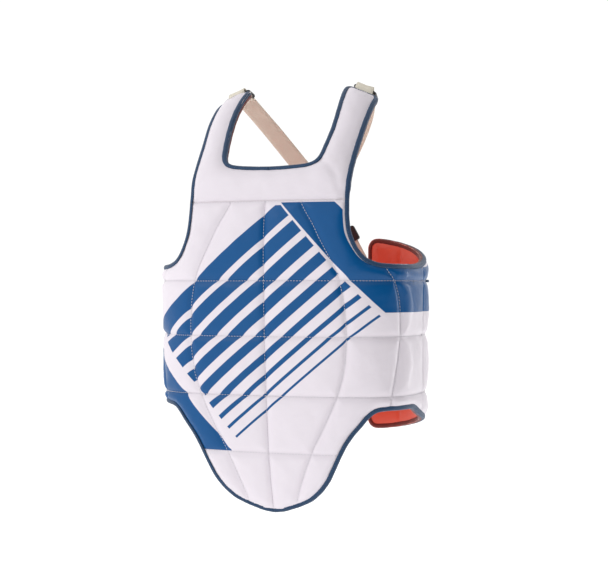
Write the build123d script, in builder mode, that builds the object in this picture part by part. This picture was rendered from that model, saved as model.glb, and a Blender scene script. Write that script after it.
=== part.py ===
from build123d import *
import math
import os

os.makedirs("parts", exist_ok=True)

# ---------------------------------------------------------------------------
# Driving dimensions, in millimetres.  +Z is up, the front of the protector
# faces -Y, the wearer's left side is +X.  The origin is the middle of the
# wearer's chest.
# ---------------------------------------------------------------------------
power = 3.0                      # how square the chest section is
# height, half width, half depth in front, half depth behind, of the edge line
stations = [
    (-304.0, 167.0, 72.0, 104.0),
    (-250.0, 170.0, 88.0, 108.0),
    (-200.0, 172.0, 96.5, 110.0),
    (-143.0, 172.0, 103.0, 111.0),
    (-67.0, 172.0, 109.0, 112.0),
    (4.0, 173.0, 112.0, 112.0),
    (60.0, 174.0, 112.0, 112.0),
    (112.0, 174.0, 105.5, 110.0),
]
face_out = 5.0                   # outer face of the pad from the edge line
skin = 1.2                       # thickness of face vinyl and of lining
foam_out = face_out - skin
foam_in = -9.0
lining_in = foam_in - skin
tape_out = 1.6                   # binding tape, outer surface
tape_mid = -3.2                  # line where the two binding tapes meet
tape_in = -8.2
tape_w = 5.5                     # visible width of the binding

yoke_z = 106.0                   # seam under the yoke
shoulder_fall = 0.44             # fall of the shoulder per mm outwards
strap_in = 70.0                  # inner edge of the shoulder, fall starts here
strap_end = 18.0                 # where the padded strap ends behind the crest
wing_switch = -25.0              # wing edges follow the side from here back
rear_x = 75.0                    # rear edge of each wing
gap = 0.25                       # half the clearance at a fold line

# side profile of the yoke and the straps: depth, height
crest = [
    (-107.0, 94.0), (-105.6, 106.0), (-103.6, 116.0), (-100.6, 128.0),
    (-96.6, 140.0), (-91.0, 152.0), (-83.6, 164.0), (-74.5, 177.0),
    (-64.5, 190.0), (-55.0, 202.0), (-45.0, 215.0), (-34.5, 228.0),
    (-23.0, 240.0), (-9.5, 252.0), (2.5, 260.5), (13.0, 265.6),
    (24.0, 267.6), (36.0, 266.6), (48.0, 262.0),
]

# hem of the front, half of it
hem_half = [
    (12, -294.6), (24, -291.0), (34, -287.4), (44, -283.4), (53.5, -278.6),
    (61, -272.8), (70.5, -263.6), (80, -251.0), (86.6, -238.3),
    (90.4, -230.7), (94.1, -223.1), (97.7, -215.6), (101.8, -208.0),
    (106.4, -200.4), (111.7, -192.8), (118.4, -184.8), (125.2, -176.6),
    (131.5, -168.6), (139.0, -162.6), (149.0, -160.3), (160.0, -160.0),
    (176.0, -160.0), (196.0, -160.0),
]
# armhole edge, from the side up to the shoulder
arm_half = [
    (196.0, 25.0), (176.0, 25.0), (162.0, 25.0), (150.0, 25.6),
    (141.0, 27.6), (132.0, 32.0), (124.6, 39.6), (118.2, 51.0),
    (113.2, 64.0), (110.7, 78.0), (109.5, 96.0), (109.3, 115.0),
    (109.8, 133.0), (110.4, 160.0), (111.6, 187.0), (113.6, 215.0),
    (114.5, 242.0), (114.6, 262.0), (114.6, 300.0),
]
# neck edge, half of it, from the shoulder down
neck_half = [
    (68.6, 300.0), (68.8, 266.0), (69.6, 253.0), (70.6, 240.0),
    (71.2, 228.0), (71.2, 215.0), (70.6, 202.0), (69.2, 190.0),
    (67.2, 177.0), (64.6, 164.5), (60.2, 158.0), (53.0, 154.6),
    (42.0, 153.0), (28.0, 152.0), (14.0, 151.3),
]
# seam between the middle and the side panels of the face
seam_half = [
    (46.0, 108.0), (52.5, 95.0), (60.1, 82.6), (66.2, 72.1), (71.2, 61.6),
    (76.7, 51.1), (82.3, 40.7), (87.8, 30.2), (93.2, 19.7), (96.8, 9.2),
    (99.4, -1.3), (103.0, -20.0), (105.4, -45.0), (105.6, -77.0),
    (102.4, -108.0), (94.4, -138.0), (82.4, -166.0), (70.4, -190.0),
    (61.9, -206.2), (54.8, -222.4), (48.0, -238.7), (41.7, -255.0),
    (34.0, -278.0), (29.0, -304.0),
]
# side view of a wing: depth, upper edge, lower edge
wing_top = [(-60.0, 25.0), (-25.0, 25.0), (0.0, 26.4), (25.0, 30.0),
            (60.0, 39.5), (84.0, 50.0), (100.0, 59.0), (112.0, 67.0),
            (130.0, 78.0)]
wing_low = [(-60.0, -160.0), (-25.0, -160.0), (0.0, -168.0), (25.0, -175.5),
            (60.0, -184.0), (84.0, -192.0), (100.0, -199.0),
            (112.0, -205.0), (130.0, -214.0)]

# fold line of each wing: point on the outer face and direction inwards
fold_x, fold_y = 163.0, -72.5
fold_n = (0.831, -0.557)
fold_m = (0.557, 0.831)

# fold line of each strap
strap_axis = (70.0, -78.7, 180.2)

# webbing and hardware
web_w = 25.0
web_t = 1.6
ring_wire = 4.0
ring_in_w = 26.0                 # clear width of the ring
ring_in_h = 12.0                 # clear height of the ring
bar_y, bar_z = 25.6, 261.8       # bar of the shoulder ring, at strap middle
strap_mid = 91.5
patch_z = 128.0                  # middle of the cross patch on the back
patch_y = 121.4
waist_z = -112.0                 # height of the waist webbing
waist_y = 117.6
buckle_w, buckle_t = 33.0, 9.0   # side release buckle


# ---------------------------------------------------------------------------
# helpers: everything is built for the wearer's left half and mirrored
# ---------------------------------------------------------------------------
def section_points(a, bf, bb, d, count=15):
    pts = []
    for i in range(count):
        t = -math.pi / 2 + math.pi * i / (count - 1)
        c, s = max(math.cos(t), 0.0), math.sin(t)
        b = bb if s > 0 else bf
        x = c ** (2 / power) * (a + d) if 0 < i < count - 1 else 0.0
        y = math.copysign(abs(s) ** (2 / power), s) * (b + d)
        pts.append((x, y))
    return pts


def plug(d):
    """Left half of the solid chest shape, d mm outside the edge line."""
    with BuildPart() as body:
        for z, a, bf, bb in stations:
            with BuildSketch(Plane.XY.offset(z)):
                pts = section_points(a, bf, bb, d)
                with BuildLine():
                    Spline(*pts, tangents=((1, 0), (-1, 0)))
                    Line(pts[-1], pts[0])
                make_face()
        loft()
    return body.part


def shell(d0, d1):
    """Layer of the chest between two offsets."""
    inner = plug(d0)
    with BuildPart() as body:
        add(plug(d1))
        add(inner, mode=Mode.SUBTRACT)
    return body.part


def inset(points, dist):
    """Moves an open line of points to its left by dist."""
    out = []
    n = len(points)
    for i, (x, z) in enumerate(points):
        x0, z0 = points[max(i - 1, 0)]
        x1, z1 = points[min(i + 1, n - 1)]
        dx, dz = x1 - x0, z1 - z0
        length = math.hypot(dx, dz)
        out.append((x - dz / length * dist, z + dx / length * dist))
    return out


def catmull(points, per=6):
    out = []
    n = len(points)
    for i in range(n - 1):
        p0 = points[max(i - 1, 0)]
        p1, p2 = points[i], points[i + 1]
        p3 = points[min(i + 2, n - 1)]
        for k in range(per):
            t = k / per
            out.append(tuple(
                0.5 * (2 * b + (c - a) * t + (2 * a - 5 * b + 4 * c - e) * t * t
                       + (3 * b - a - 3 * c + e) * t ** 3)
                for a, b, c, e in zip(p0, p1, p2, p3)))
    out.append(points[-1])
    return out


crest_line = catmull(crest)


def profile(x, d, count=13):
    """Side profile of the yoke at x, d mm outside the edge line."""
    fall = shoulder_fall * max(abs(x) - strap_in, 0.0)
    start = yoke_z + fall
    line = [p for p in crest_line if p[1] > start + 0.5 or p[0] > 0]
    below = max((p for p in crest_line if p[1] <= start and p[0] < 0),
                key=lambda p: p[1])
    k = (start - below[1]) / (line[0][1] - below[1])
    first = (below[0] + k * (line[0][0] - below[0]), start)
    line = [first] + line
    run = [0.0]
    for p, q in zip(line, line[1:]):
        run.append(run[-1] + math.dist(p, q))
    drop = 105.6 * (1 - (1 - (abs(x) / 174.0) ** power) ** (1 / power))
    base = 105.6 + first[0]
    out = []
    for i in range(count):
        s = run[-1] * i / (count - 1)
        j = max(k for k in range(len(run)) if run[k] <= s + 1e-9)
        j = min(j, len(run) - 2)
        t = (s - run[j]) / (run[j + 1] - run[j])
        y = line[j][0] + t * (line[j + 1][0] - line[j][0])
        z = line[j][1] + t * (line[j + 1][1] - line[j][1])
        a, b = line[max(j - 1, 0)], line[min(j + 2, len(line) - 1)]
        ty, tz = b[0] - a[0], b[1] - a[1]
        length = math.hypot(ty, tz)
        ny, nz = -tz / length, ty / length
        if i == 0:
            ny, nz = -1.0, 0.0
        fade = min(max((150.0 + fall * 0.5 - z) / 44.0, 0.0), 1.0)
        out.append((y + (drop - base) * fade + ny * d, z - fall + nz * d))
    return out


def slab(d0, d1):
    """Left half of the yoke and strap between two offsets, not trimmed."""
    with BuildPart() as body:
        for x in (0.0, 34.0, 62.0, 78.0, 96.0, 120.0):
            lo, hi = profile(x, d0), profile(x, d1)
            with BuildSketch(Plane.YZ.offset(x)):
                with BuildLine():
                    Spline(*hi)
                    Line(hi[-1], lo[-1])
                    Spline(*reversed(lo))
                    Line(lo[0], hi[0])
                make_face()
        loft()
    return body.part


def front_outline(w):
    """Left half prism of the front outline, w mm inside the edge."""
    hem = inset([(-12, -294.6), (0.0, -296.0)] + hem_half, w)[1:]
    arm = inset(arm_half, w)
    neck = inset(neck_half + [(0.0, 151.0), (-14, 151.3)], w)[:-1]
    hem[0] = (0.0, hem[0][1])
    neck[-1] = (0.0, neck[-1][1])
    with BuildPart() as body:
        with BuildSketch(Plane.XZ):
            with BuildLine():
                Spline(*hem, tangents=((1, 0), (1, 0)))
                Line(hem[-1], arm[0])
                Spline(*arm, tangents=((-1, 0), (0, 1)))
                Line(arm[-1], neck[0])
                Spline(*neck, tangents=((0, -1), (-1, 0)))
                Line(neck[-1], hem[0])
            make_face()
        extrude(amount=160, both=True)
    return body.part


def side_outline(w):
    """Side view prism of the left wing, w mm inside the edge."""
    top = [(y, z - w) for y, z in wing_top]
    low = [(y, z + w) for y, z in wing_low]
    with BuildPart() as body:
        with BuildSketch(Plane.YZ.offset(rear_x + w)):
            with BuildLine():
                Spline(*top)
                Line(top[-1], low[-1])
                Spline(*reversed(low))
                Line(low[0], top[0])
            make_face()
        extrude(amount=160)
    return body.part


def prism(points, z0, z1):
    with BuildPart() as body:
        with BuildSketch(Plane.XY.offset(z0)):
            with BuildLine():
                Polyline(*points, close=True)
            make_face()
        extrude(amount=z1 - z0)
    return body.part


def strap_cut(back_off):
    """Half space above the fold line of the left strap."""
    n = math.hypot(1.0, shoulder_fall)
    s = Vector(1 / n, 0, -shoulder_fall / n)
    t0 = Vector(0, 0.6, 0.8)
    t = (t0 - s * t0.dot(s)).normalized()
    mid = Vector(*strap_axis) + s * 24.0
    with BuildPart() as body:
        with BuildSketch(Plane(origin=mid + t * back_off, x_dir=s, z_dir=t)):
            Rectangle(260, 200)
        extrude(amount=260)
    return body.part


def both(one, two, mode):
    with BuildPart() as body:
        add(one)
        add(two, mode=mode)
    return body.part


def meet(one, two):
    return both(one, two, Mode.INTERSECT)


def less(one, two):
    return both(one, two, Mode.SUBTRACT)


def save(part, label):
    part.label = label
    export_step(part, f"parts/{label}.step")


def save_whole(half, label):
    """Left half and its mirror image as one piece."""
    with BuildPart() as whole:
        add(half)
        mirror(half, about=Plane.YZ)
    save(whole.part, label)


def save_pair(left, label):
    """A left piece and its mirror image as two pieces."""
    save(left, f"{label}_left")
    with BuildPart() as other:
        mirror(left, about=Plane.YZ)
    save(other.part, f"{label}_right")


# ---------------------------------------------------------------------------
# trimming regions
# ---------------------------------------------------------------------------
outline = front_outline(0.0)
outline_in = front_outline(tape_w)
side_out = side_outline(0.0)
side_in = side_outline(tape_w)

ax, ay = fold_x + 34 * fold_n[0], fold_y + 34 * fold_n[1]
bx, by = fold_x - 42 * fold_n[0], fold_y - 42 * fold_n[1]
gx, gy = gap * fold_m[0], gap * fold_m[1]
front_block = prism([(0, -200), (240, -200), (ax - gx, ay - gy),
                     (bx - gx, by - gy), (0, by - gy)], -320, yoke_z)
def wing_front(w):
    """Foremost strip of the wing, from the fold to where the side begins."""
    return prism([(ax + gx, ay + gy), (bx + gx, by + gy), (110, -30),
                  (110, wing_switch), (240, wing_switch), (240, -90)],
                 -160.0 + w, 25.0 - w)


wing_back = prism([(50, wing_switch), (50, 150), (240, 150),
                   (240, wing_switch)], -320, 140)

front_all = meet(outline, front_block)
front_in = meet(outline_in, front_block)
front_edge = less(front_all, front_in)
with BuildPart() as hem_tool:
    add(front_edge)
    with Locations((100, -100, -260)):
        Box(400, 500, 400, mode=Mode.INTERSECT)
with BuildPart() as arm_tool:
    add(front_edge)
    with Locations((100, -100, 140)):
        Box(400, 500, 400, mode=Mode.INTERSECT)

wing_all = both(wing_front(0.0), meet(side_out, wing_back), Mode.ADD)
wing_in = both(wing_front(tape_w), meet(side_in, wing_back), Mode.ADD)
wing_edge = less(wing_all, wing_in)

above = strap_cut(gap)
above_cut = strap_cut(-gap)
with BuildPart() as high_tool:
    with Locations((100, 0, yoke_z + 200)):
        Box(200, 500, 400)
yoke_all = less(meet(outline, high_tool.part), above_cut)
yoke_in = less(meet(outline_in, high_tool.part), above_cut)
yoke_edge = less(yoke_all, yoke_in)
with BuildPart() as neck_tool:
    add(yoke_edge)
    with Locations((44, 0, 250)):
        Box(88, 500, 400, mode=Mode.INTERSECT)
with BuildPart() as yoke_arm_tool:
    add(yoke_edge)
    with Locations((138, 0, 250)):
        Box(100, 500, 400, mode=Mode.INTERSECT)
with BuildPart() as strap_tool:
    add(meet(outline, above))
    with Locations((90, strap_end - 150, 200)):
        Box(120, 300, 400, mode=Mode.INTERSECT)
with BuildPart() as strap_in_tool:
    add(meet(outline_in, above))
    with Locations((90, strap_end - tape_w - 150, 200)):
        Box(120, 300, 400, mode=Mode.INTERSECT)
strap_edge = less(strap_tool.part, strap_in_tool.part)

with BuildPart() as middle_tool:
    with BuildSketch(Plane.XZ):
        with BuildLine():
            Spline(*seam_half)
            Polyline(seam_half[-1], (0, seam_half[-1][1]),
                     (0, seam_half[0][1]), seam_half[0])
        make_face()
    extrude(amount=160, both=True)
middle_zone = middle_tool.part

# ---------------------------------------------------------------------------
# front panel and wings: foam, face, lining and the two binding tapes
# ---------------------------------------------------------------------------
foam_shell = shell(foam_in, foam_out)
save_whole(meet(foam_shell, front_in), "front_foam")
save_pair(meet(foam_shell, wing_in), "wing_foam")

face_shell = shell(foam_out, face_out)
face_front = meet(face_shell, front_in)
save_whole(meet(face_front, middle_zone), "front_cover_middle")
save_pair(less(face_front, middle_zone), "front_cover_side")
save_pair(meet(face_shell, wing_in), "wing_cover")

lining_shell = shell(lining_in, foam_in)
save_whole(meet(lining_shell, front_in), "front_lining")
save_pair(meet(lining_shell, wing_in), "wing_lining")

tape_levels = {"outer": (tape_mid, tape_out), "inner": (tape_in, tape_mid)}
low_arm = {}
for level, (lo, hi) in tape_levels.items():
    tape_shell = shell(lo, hi)
    save_whole(meet(tape_shell, hem_tool.part), f"hem_binding_{level}")
    save_pair(meet(tape_shell, wing_edge), f"wing_binding_{level}")
    low_arm[level] = meet(tape_shell, arm_tool.part)

# ---------------------------------------------------------------------------
# yoke and the two padded straps
# ---------------------------------------------------------------------------
skin_gap = 0.03                  # the skins lie on the foam without bonding
for kind, lo, hi in (("foam", foam_in, foam_out),
                     ("cover", foam_out + skin_gap, face_out),
                     ("lining", lining_in, foam_in - skin_gap)):
    layer = slab(lo, hi)
    save_whole(meet(layer, yoke_in), f"yoke_{kind}")
    save_pair(meet(layer, strap_in_tool.part), f"strap_{kind}")

for level, (lo, hi) in tape_levels.items():
    layer = slab(lo, hi)
    save_whole(meet(layer, neck_tool.part), f"neck_binding_{level}")
    save_pair(meet(layer, strap_edge), f"strap_binding_{level}")
    save_pair(both(meet(layer, yoke_arm_tool.part), low_arm[level], Mode.ADD),
              f"armhole_binding_{level}")

# ---------------------------------------------------------------------------
# shoulder rings: a moulded ring on a webbing tab at the end of each strap
# ---------------------------------------------------------------------------
fall_len = math.hypot(1.0, shoulder_fall)
across = Vector(1 / fall_len, 0, -shoulder_fall / fall_len)   # along the bar
tail = Vector(0, 0.93, -0.3676).normalized()
tail = (tail - across * tail.dot(across)).normalized()        # down the back
lift = across.cross(tail).normalized()                        # off the back
if lift.Z < 0:
    lift = lift * -1
bar_mid = Vector(strap_mid, bar_y, bar_z)
ring_plane = Plane(origin=bar_mid, x_dir=across, z_dir=lift)
tail_local = 1 if ring_plane.y_dir.dot(tail) > 0 else -1

ring_out_w = ring_in_w + 2 * ring_wire
ring_out_h = ring_in_h + 2 * ring_wire
with BuildPart() as ring_left:
    with BuildSketch(ring_plane.offset(-ring_wire / 2)):
        with Locations((0, tail_local * (ring_in_h + ring_wire) / 2)):
            RectangleRounded(ring_out_w, ring_out_h, 4.0)
            RectangleRounded(ring_in_w, ring_in_h, 1.2, mode=Mode.SUBTRACT)
    extrude(amount=ring_wire)
    fillet(ring_left.edges().filter_by(
        lambda e: abs(ring_plane.to_local_coords(e.center()).Z)
        > ring_wire / 2 - 0.01), radius=1.3)

# tab: webbing folded round the bar, sewn to the end of the strap
tab_r = ring_wire / 2 + 0.45
with BuildPart() as tab_left:
    with BuildSketch(Plane(origin=bar_mid - across * (web_w / 2),
                           x_dir=tail, z_dir=across)):
        with BuildLine():
            back = -(bar_y - strap_end) / tail.Y
            r = tab_r + web_t
            Polyline((back, r), (0, r))
            ThreePointArc((0, r), (r, 0), (0, -r))
            Polyline((0, -r), (back, -r), (back, r))
        make_face()
        with BuildLine():
            r2 = tab_r
            Polyline((-tab_r - 0.5, r2), (0, r2))
            ThreePointArc((0, r2), (r2, 0), (0, -r2))
            Polyline((0, -r2), (-tab_r - 0.5, -r2), (-tab_r - 0.5, r2))
        make_face(mode=Mode.SUBTRACT)
    extrude(amount=web_w)
    with Locations((strap_mid, strap_end - 100 + 0.02, 260)):
        Box(80, 200, 80, mode=Mode.SUBTRACT)

# ---------------------------------------------------------------------------
# webbing ribbons of the back closure
# ---------------------------------------------------------------------------
def ribbon(points, sides, width, thick):
    """Flat ribbon through points; sides gives the direction of its width."""
    with BuildPart() as body:
        n = len(points)
        for i, (p, s) in enumerate(zip(points, sides)):
            a, b = Vector(*points[max(i - 1, 0)]), Vector(*points[min(i + 1, n - 1)])
            t = (b - a).normalized()
            sv = Vector(*s)
            sv = (sv - t * sv.dot(t)).normalized()
            with BuildSketch(Plane(origin=Vector(*p), x_dir=sv, z_dir=t)):
                Rectangle(width, thick)
        loft()
    return body.part


far_bar = bar_mid + tail * (ring_in_h + ring_wire)
start = far_bar + tail * (ring_wire / 2 + web_t + 1.1)
with BuildPart() as shoulder_web_left:
    add(ribbon(
        [(start.X, start.Y, start.Z),
         tuple(start + tail * 6.0),
         (78.0, 72.0, 236.0), (64.0, 91.0, 214.0), (45.0, 107.0, 186.0),
         (30.0, 115.0, 165.5), (17.5, 118.8, 149.5)],
        [(1, 0, -0.44), (1, 0.06, -0.5), (1, 0.15, -0.6), (1, 0.1, -0.75),
         (1, 0.05, -0.85), (1, 0.02, -0.85), (1, 0, -0.82)],
        web_w, web_t))
# fold of the same webbing round the far bar, moving with the ring
with BuildPart() as fold_left:
    with BuildSketch(Plane(origin=far_bar - across * (web_w / 2),
                           x_dir=tail, z_dir=across)):
        with Locations((0, 0)):
            Circle(ring_wire / 2 + 0.4 + web_t)
            Circle(ring_wire / 2 + 0.4, mode=Mode.SUBTRACT)
    extrude(amount=web_w)

arm_top = Vector(15.0, 119.0, 103.0)
arm_low = Vector(84.0, 115.6, -20.0)
arm_dir = (arm_low - arm_top).normalized()
with BuildPart() as wing_web_left:
    add(ribbon([tuple(arm_top), tuple(arm_top + (arm_low - arm_top) * 0.5), tuple(arm_low)],
               [(0.872, 0, 0.489)] * 3, web_w, web_t))

# cross patch that holds the four webbing ends
with BuildPart() as back_patch:
    with BuildSketch(Plane.XZ.offset(-patch_y)):
        with Locations((0, patch_z)):
            RectangleRounded(66, 66, 14)
    extrude(amount=-3.0)
    fillet(back_patch.edges().filter_by(
        lambda e: abs(e.center().Y - patch_y - 3.0) < 0.01), radius=0.9)

# slide adjusters on the straight webbing
glide_c = arm_top + arm_dir * 42.0
side_v = Vector(0.872, 0, 0.489)
side_v = (side_v - arm_dir * side_v.dot(arm_dir)).normalized()
out_v = side_v.cross(arm_dir).normalized()
if out_v.Y < 0:
    out_v = out_v * -1
glide_plane = Plane(origin=glide_c, x_dir=side_v, z_dir=out_v)
with BuildPart() as glide_left:
    with BuildSketch(glide_plane.offset(-2.6)):
        RectangleRounded(34.0, 22.0, 3.0)
    extrude(amount=5.2)
    fillet(glide_left.edges().filter_by(
        lambda e: abs(glide_plane.to_local_coords(e.center()).Z) > 2.59),
        radius=1.2)
    with BuildSketch(glide_plane):
        with Locations((0, 0)):
            Rectangle(web_w + 1.4, 40)
    extrude(amount=(web_t / 2 + 0.45), both=True, mode=Mode.SUBTRACT)
    for off in (-5.2, 5.2):
        with BuildSketch(glide_plane):
            with Locations((0, off)):
                RectangleRounded(web_w + 1.4, 5.0, 1.0)
        extrude(amount=3.2, mode=Mode.SUBTRACT)

# ---------------------------------------------------------------------------
# waist webbing and side release buckle
# ---------------------------------------------------------------------------
with BuildPart() as waist_web_left:
    add(ribbon([(98.0, 113.4, waist_z), (88.0, 114.9, waist_z),
                (78.0, 115.6, waist_z), (70.0, 114.6, waist_z),
                (64.0, 112.8, waist_z), (57.0, 111.9, waist_z),
                (36.0, 111.8, waist_z), (19.5, 111.8, waist_z)],
               [(0, 0, 1)] * 8, web_w, web_t))

with BuildPart() as buckle_female:
    with BuildSketch(Plane.XZ.offset(-(waist_y - buckle_t / 2))):
        with Locations((13.0, waist_z)):
            RectangleRounded(46.0, buckle_w, 5.0)
    extrude(amount=-buckle_t)
    fillet(buckle_female.edges().filter_by(
        lambda e: abs(abs(e.center().Y - waist_y) - buckle_t / 2) < 0.01),
        radius=1.6)
    # socket for the prongs, open towards the other half
    with Locations((3.0, waist_y, waist_z)):
        Box(28.0, 5.4, 25.0, mode=Mode.SUBTRACT)
    # side windows
    for s in (-1, 1):
        with Locations((7.0, waist_y, waist_z + s * 15.0)):
            Box(12.0, 5.4, 8.0, mode=Mode.SUBTRACT)
    # slot and bar for the webbing
    with Locations((28.0, waist_y, waist_z)):
        Box(10.0, buckle_t + 2, web_w + 1.4, mode=Mode.SUBTRACT)
    with Locations((28.0, waist_y + 0.4, waist_z)):
        Box(3.2, 3.2, web_w + 1.6)

with BuildPart() as buckle_male:
    with Locations((-20.6, waist_y, waist_z)):
        Box(18.0, buckle_t - 1.0, buckle_w - 1.0)
    fillet(buckle_male.edges().filter_by(Axis.X), radius=1.6)
    with Locations((-21.6, waist_y, waist_z)):
        Box(10.0, buckle_t + 2, web_w + 1.4, mode=Mode.SUBTRACT)
    with Locations((-21.6, waist_y + 0.4, waist_z)):
        Box(3.2, 3.2, web_w + 1.6)
    for s in (-1, 1):
        with BuildSketch(Plane.XZ.offset(-(waist_y - 2.2))):
            with BuildLine():
                Polyline((-12.0, waist_z + s * 11.6), (5.0, waist_z + s * 11.6),
                         (13.0, waist_z + s * 9.0), (15.0, waist_z + s * 6.4),
                         (11.0, waist_z + s * 6.6), (4.0, waist_z + s * 8.0),
                         (-12.0, waist_z + s * 8.0), close=True)
            make_face()
        extrude(amount=-4.4)
    with Locations((-2.0, waist_y, waist_z)):
        Box(22.0, 3.0, 4.0)

save_pair(ring_left.part, "shoulder_ring")
save_pair(tab_left.part, "ring_tab")
save_pair(fold_left.part, "webbing_fold")
save_pair(shoulder_web_left.part, "back_webbing_upper")
save_pair(wing_web_left.part, "back_webbing_lower")
save_pair(glide_left.part, "slide_adjuster")
save_pair(waist_web_left.part, "waist_webbing")
save(back_patch.part, "back_patch")
save(buckle_female.part, "buckle_female")
save(buckle_male.part, "buckle_male")
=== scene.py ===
import math

import bpy
import numpy as np
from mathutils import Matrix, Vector


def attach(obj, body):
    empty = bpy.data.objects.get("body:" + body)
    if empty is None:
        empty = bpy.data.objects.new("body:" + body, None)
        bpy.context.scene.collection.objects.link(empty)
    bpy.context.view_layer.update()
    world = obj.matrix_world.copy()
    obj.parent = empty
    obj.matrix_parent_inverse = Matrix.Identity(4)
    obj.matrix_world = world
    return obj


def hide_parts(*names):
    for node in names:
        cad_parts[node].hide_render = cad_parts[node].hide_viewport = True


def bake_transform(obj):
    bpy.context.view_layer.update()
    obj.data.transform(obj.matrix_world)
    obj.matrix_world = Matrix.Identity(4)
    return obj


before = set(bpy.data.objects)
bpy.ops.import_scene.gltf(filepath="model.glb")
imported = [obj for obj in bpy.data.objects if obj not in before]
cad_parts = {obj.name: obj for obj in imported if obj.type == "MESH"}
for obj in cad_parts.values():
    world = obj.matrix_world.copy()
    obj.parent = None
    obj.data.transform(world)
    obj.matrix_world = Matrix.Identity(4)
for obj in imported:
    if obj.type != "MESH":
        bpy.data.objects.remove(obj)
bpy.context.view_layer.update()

MM = 0.001
scene = bpy.context.scene

# ---------------------------------------------------------------------------
# Shape of the pad, in millimetres, the same edge line as the frame
# ---------------------------------------------------------------------------
POWER = 3.0
STATIONS = np.array([
    (-304.0, 167.0, 72.0, 104.0), (-250.0, 170.0, 88.0, 108.0),
    (-200.0, 172.0, 96.5, 110.0), (-143.0, 172.0, 103.0, 111.0),
    (-67.0, 172.0, 109.0, 112.0), (4.0, 173.0, 112.0, 112.0),
    (60.0, 174.0, 112.0, 112.0), (112.0, 174.0, 105.5, 110.0)])
CREST = [
    (-107.0, 94.0), (-105.6, 106.0), (-103.6, 116.0), (-100.6, 128.0),
    (-96.6, 140.0), (-91.0, 152.0), (-83.6, 164.0), (-74.5, 177.0),
    (-64.5, 190.0), (-55.0, 202.0), (-45.0, 215.0), (-34.5, 228.0),
    (-23.0, 240.0), (-9.5, 252.0), (2.5, 260.5), (13.0, 265.6),
    (24.0, 267.6), (36.0, 266.6), (48.0, 262.0)]
HEM = [
    (0, -296.0), (12, -294.6), (24, -291.0), (34, -287.4), (44, -283.4),
    (53.5, -278.6), (61, -272.8), (70.5, -263.6), (80, -251.0),
    (86.6, -238.3), (90.4, -230.7), (94.1, -223.1), (97.7, -215.6),
    (101.8, -208.0), (106.4, -200.4), (111.7, -192.8), (118.4, -184.8),
    (125.2, -176.6), (131.5, -168.6), (139.0, -162.6), (149.0, -160.3),
    (160.0, -160.0), (176.0, -160.0), (196.0, -160.0)]
ARM = [
    (196.0, 25.0), (176.0, 25.0), (162.0, 25.0), (150.0, 25.6),
    (141.0, 27.6), (132.0, 32.0), (124.6, 39.6), (118.2, 51.0),
    (113.2, 64.0), (110.7, 78.0), (109.5, 96.0), (109.3, 115.0),
    (109.8, 133.0), (110.4, 160.0), (111.6, 187.0), (113.6, 215.0),
    (114.5, 242.0), (114.6, 262.0), (114.6, 300.0)]
NECK = [
    (68.6, 300.0), (68.8, 266.0), (69.6, 253.0), (70.6, 240.0),
    (71.2, 228.0), (71.2, 215.0), (70.6, 202.0), (69.2, 190.0),
    (67.2, 177.0), (64.6, 164.5), (60.2, 158.0), (53.0, 154.6),
    (42.0, 153.0), (28.0, 152.0), (14.0, 151.3), (0.0, 151.0)]
SEAM = [
    (46.0, 108.0), (52.5, 95.0), (60.1, 82.6), (66.2, 72.1), (71.2, 61.6),
    (76.7, 51.1), (82.3, 40.7), (87.8, 30.2), (93.2, 19.7), (96.8, 9.2),
    (99.4, -1.3), (103.0, -20.0), (105.4, -45.0), (105.6, -77.0),
    (102.4, -108.0), (94.4, -138.0), (82.4, -166.0), (70.4, -190.0),
    (61.9, -206.2), (54.8, -222.4), (48.0, -238.7), (41.7, -255.0),
    (34.0, -278.0), (29.0, -304.0)]
SIDE_SEAM = [
    (149.0, 30.0), (152.4, 17.6), (157.3, 8.0), (160.6, -4.0),
    (162.5, -16.5), (163.4, -32.0), (163.6, -50.0), (163.2, -67.0),
    (162.0, -86.0), (159.0, -115.0), (155.9, -138.0), (153.0, -165.0)]
WING_TOP = [(-60.0, 25.0), (-25.0, 25.0), (0.0, 26.4), (25.0, 30.0),
            (60.0, 39.5), (84.0, 50.0), (100.0, 59.0), (112.0, 67.0),
            (130.0, 78.0)]
WING_LOW = [(-60.0, -160.0), (-25.0, -160.0), (0.0, -168.0), (25.0, -175.5),
            (60.0, -184.0), (84.0, -192.0), (100.0, -199.0),
            (112.0, -205.0), (130.0, -214.0)]
ROWS = (4.0, -67.0, -143.0, -217.0)
YOKE_Z, REAR_X, STRAP_END, FALL, STRAP_IN = 106.0, 75.0, 18.0, 0.44, 70.0


def catmull(points, per=6):
    p = np.array(points, float)
    ends = np.vstack([p[:1], p, p[-1:]])
    out = []
    for i in range(len(p) - 1):
        a, b, c, e = ends[i:i + 4]
        for k in range(per):
            t = k / per
            out.append(0.5 * (2 * b + (c - a) * t
                              + (2 * a - 5 * b + 4 * c - e) * t * t
                              + (3 * b - a - 3 * c + e) * t ** 3))
    out.append(p[-1])
    return np.array(out)


def spline_table(xs, ys):
    """Natural cubic spline, returned as a dense table."""
    n = len(xs)
    h = np.diff(xs)
    A = np.zeros((n, n))
    r = np.zeros(n)
    A[0, 0] = A[-1, -1] = 1
    for i in range(1, n - 1):
        A[i, i - 1], A[i, i], A[i, i + 1] = h[i - 1], 2 * (h[i - 1] + h[i]), h[i]
        r[i] = 6 * ((ys[i + 1] - ys[i]) / h[i] - (ys[i] - ys[i - 1]) / h[i - 1])
    m = np.linalg.solve(A, r)
    q = np.linspace(xs[0], xs[-1], 800)
    k = np.clip(np.searchsorted(xs, q) - 1, 0, n - 2)
    d1, d0 = xs[k + 1] - q, q - xs[k]
    v = (m[k] * d1 ** 3 + m[k + 1] * d0 ** 3) / (6 * h[k]) \
        + (ys[k] / h[k] - m[k] * h[k] / 6) * d1 \
        + (ys[k + 1] / h[k] - m[k + 1] * h[k] / 6) * d0
    return q, v


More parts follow.
